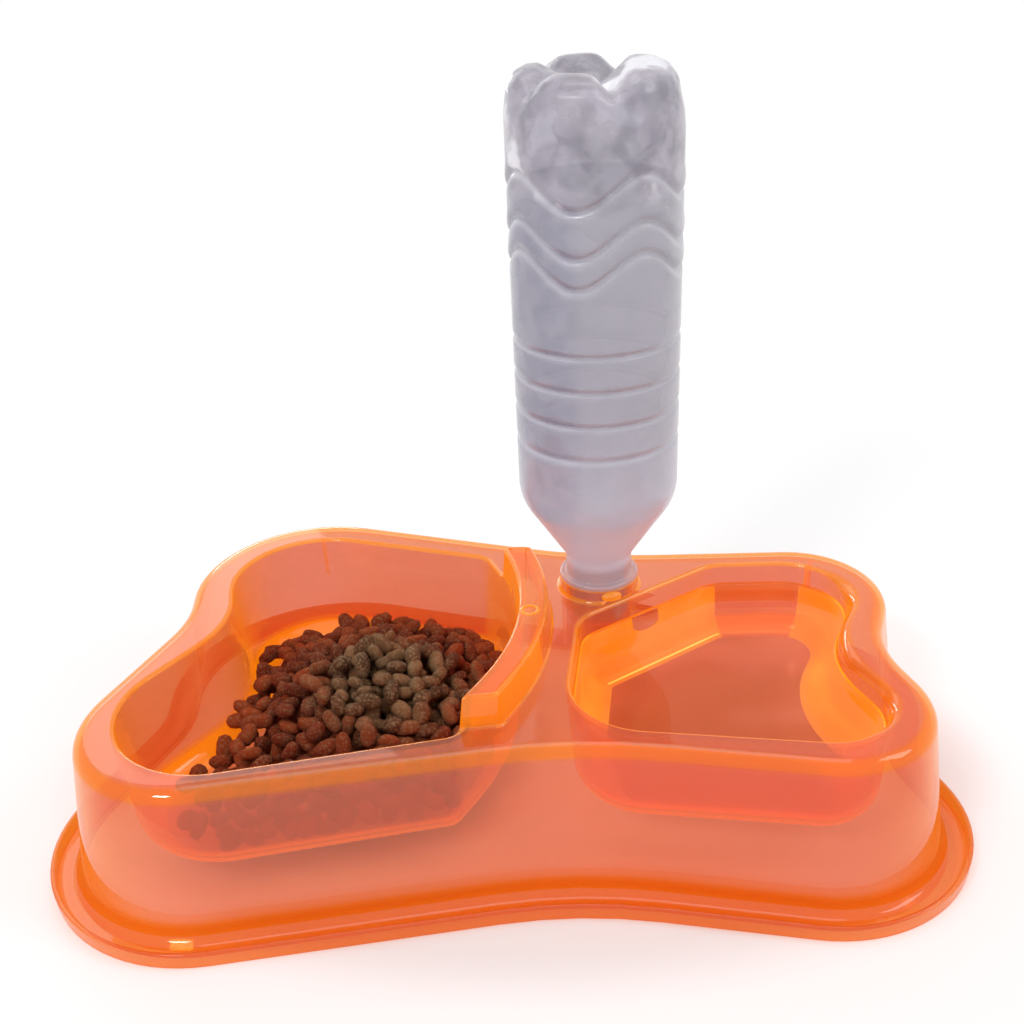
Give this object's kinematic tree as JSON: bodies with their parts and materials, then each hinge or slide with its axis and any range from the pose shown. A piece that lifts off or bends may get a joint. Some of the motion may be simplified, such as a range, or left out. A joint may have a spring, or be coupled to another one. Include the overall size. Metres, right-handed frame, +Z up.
{
  "type": "automatic pet waterer",
  "caption": "Bone-shaped translucent tray with a food bowl, a water bowl and an ant channel, fed by an upside-down water bottle in its socket.",
  "frame": {"origin": "centre of the object's footprint on the table", "axes": "+Z up, +X along the tray from the food bowl to the water bowl, +Y to the back, where the bottle stands"},
  "size_m": [0.3583, 0.2376, 0.2745],
  "materials": {
    "tray_plastic": "translucent fluorescent orange, polished mould surface",
    "bottle_plastic": "clear thin blown plastic",
    "water": "clear water",
    "kibble": "dry rough baked pellets"
  },
  "bodies": {
    "tray": {"tray": "tray_plastic", "kibble": "kibble"},
    "bottle": {"bottle": "bottle_plastic", "bottle_water": "water"}
  },
  "joints": [
    {"name": "bottle_turn", "type": "hinge", "parent": "tray", "child": "bottle", "pos_m": [0.0358, 0.0422, 0.0695], "axis": [0, 0, 1], "range_deg": [0, 360]}
  ]
}
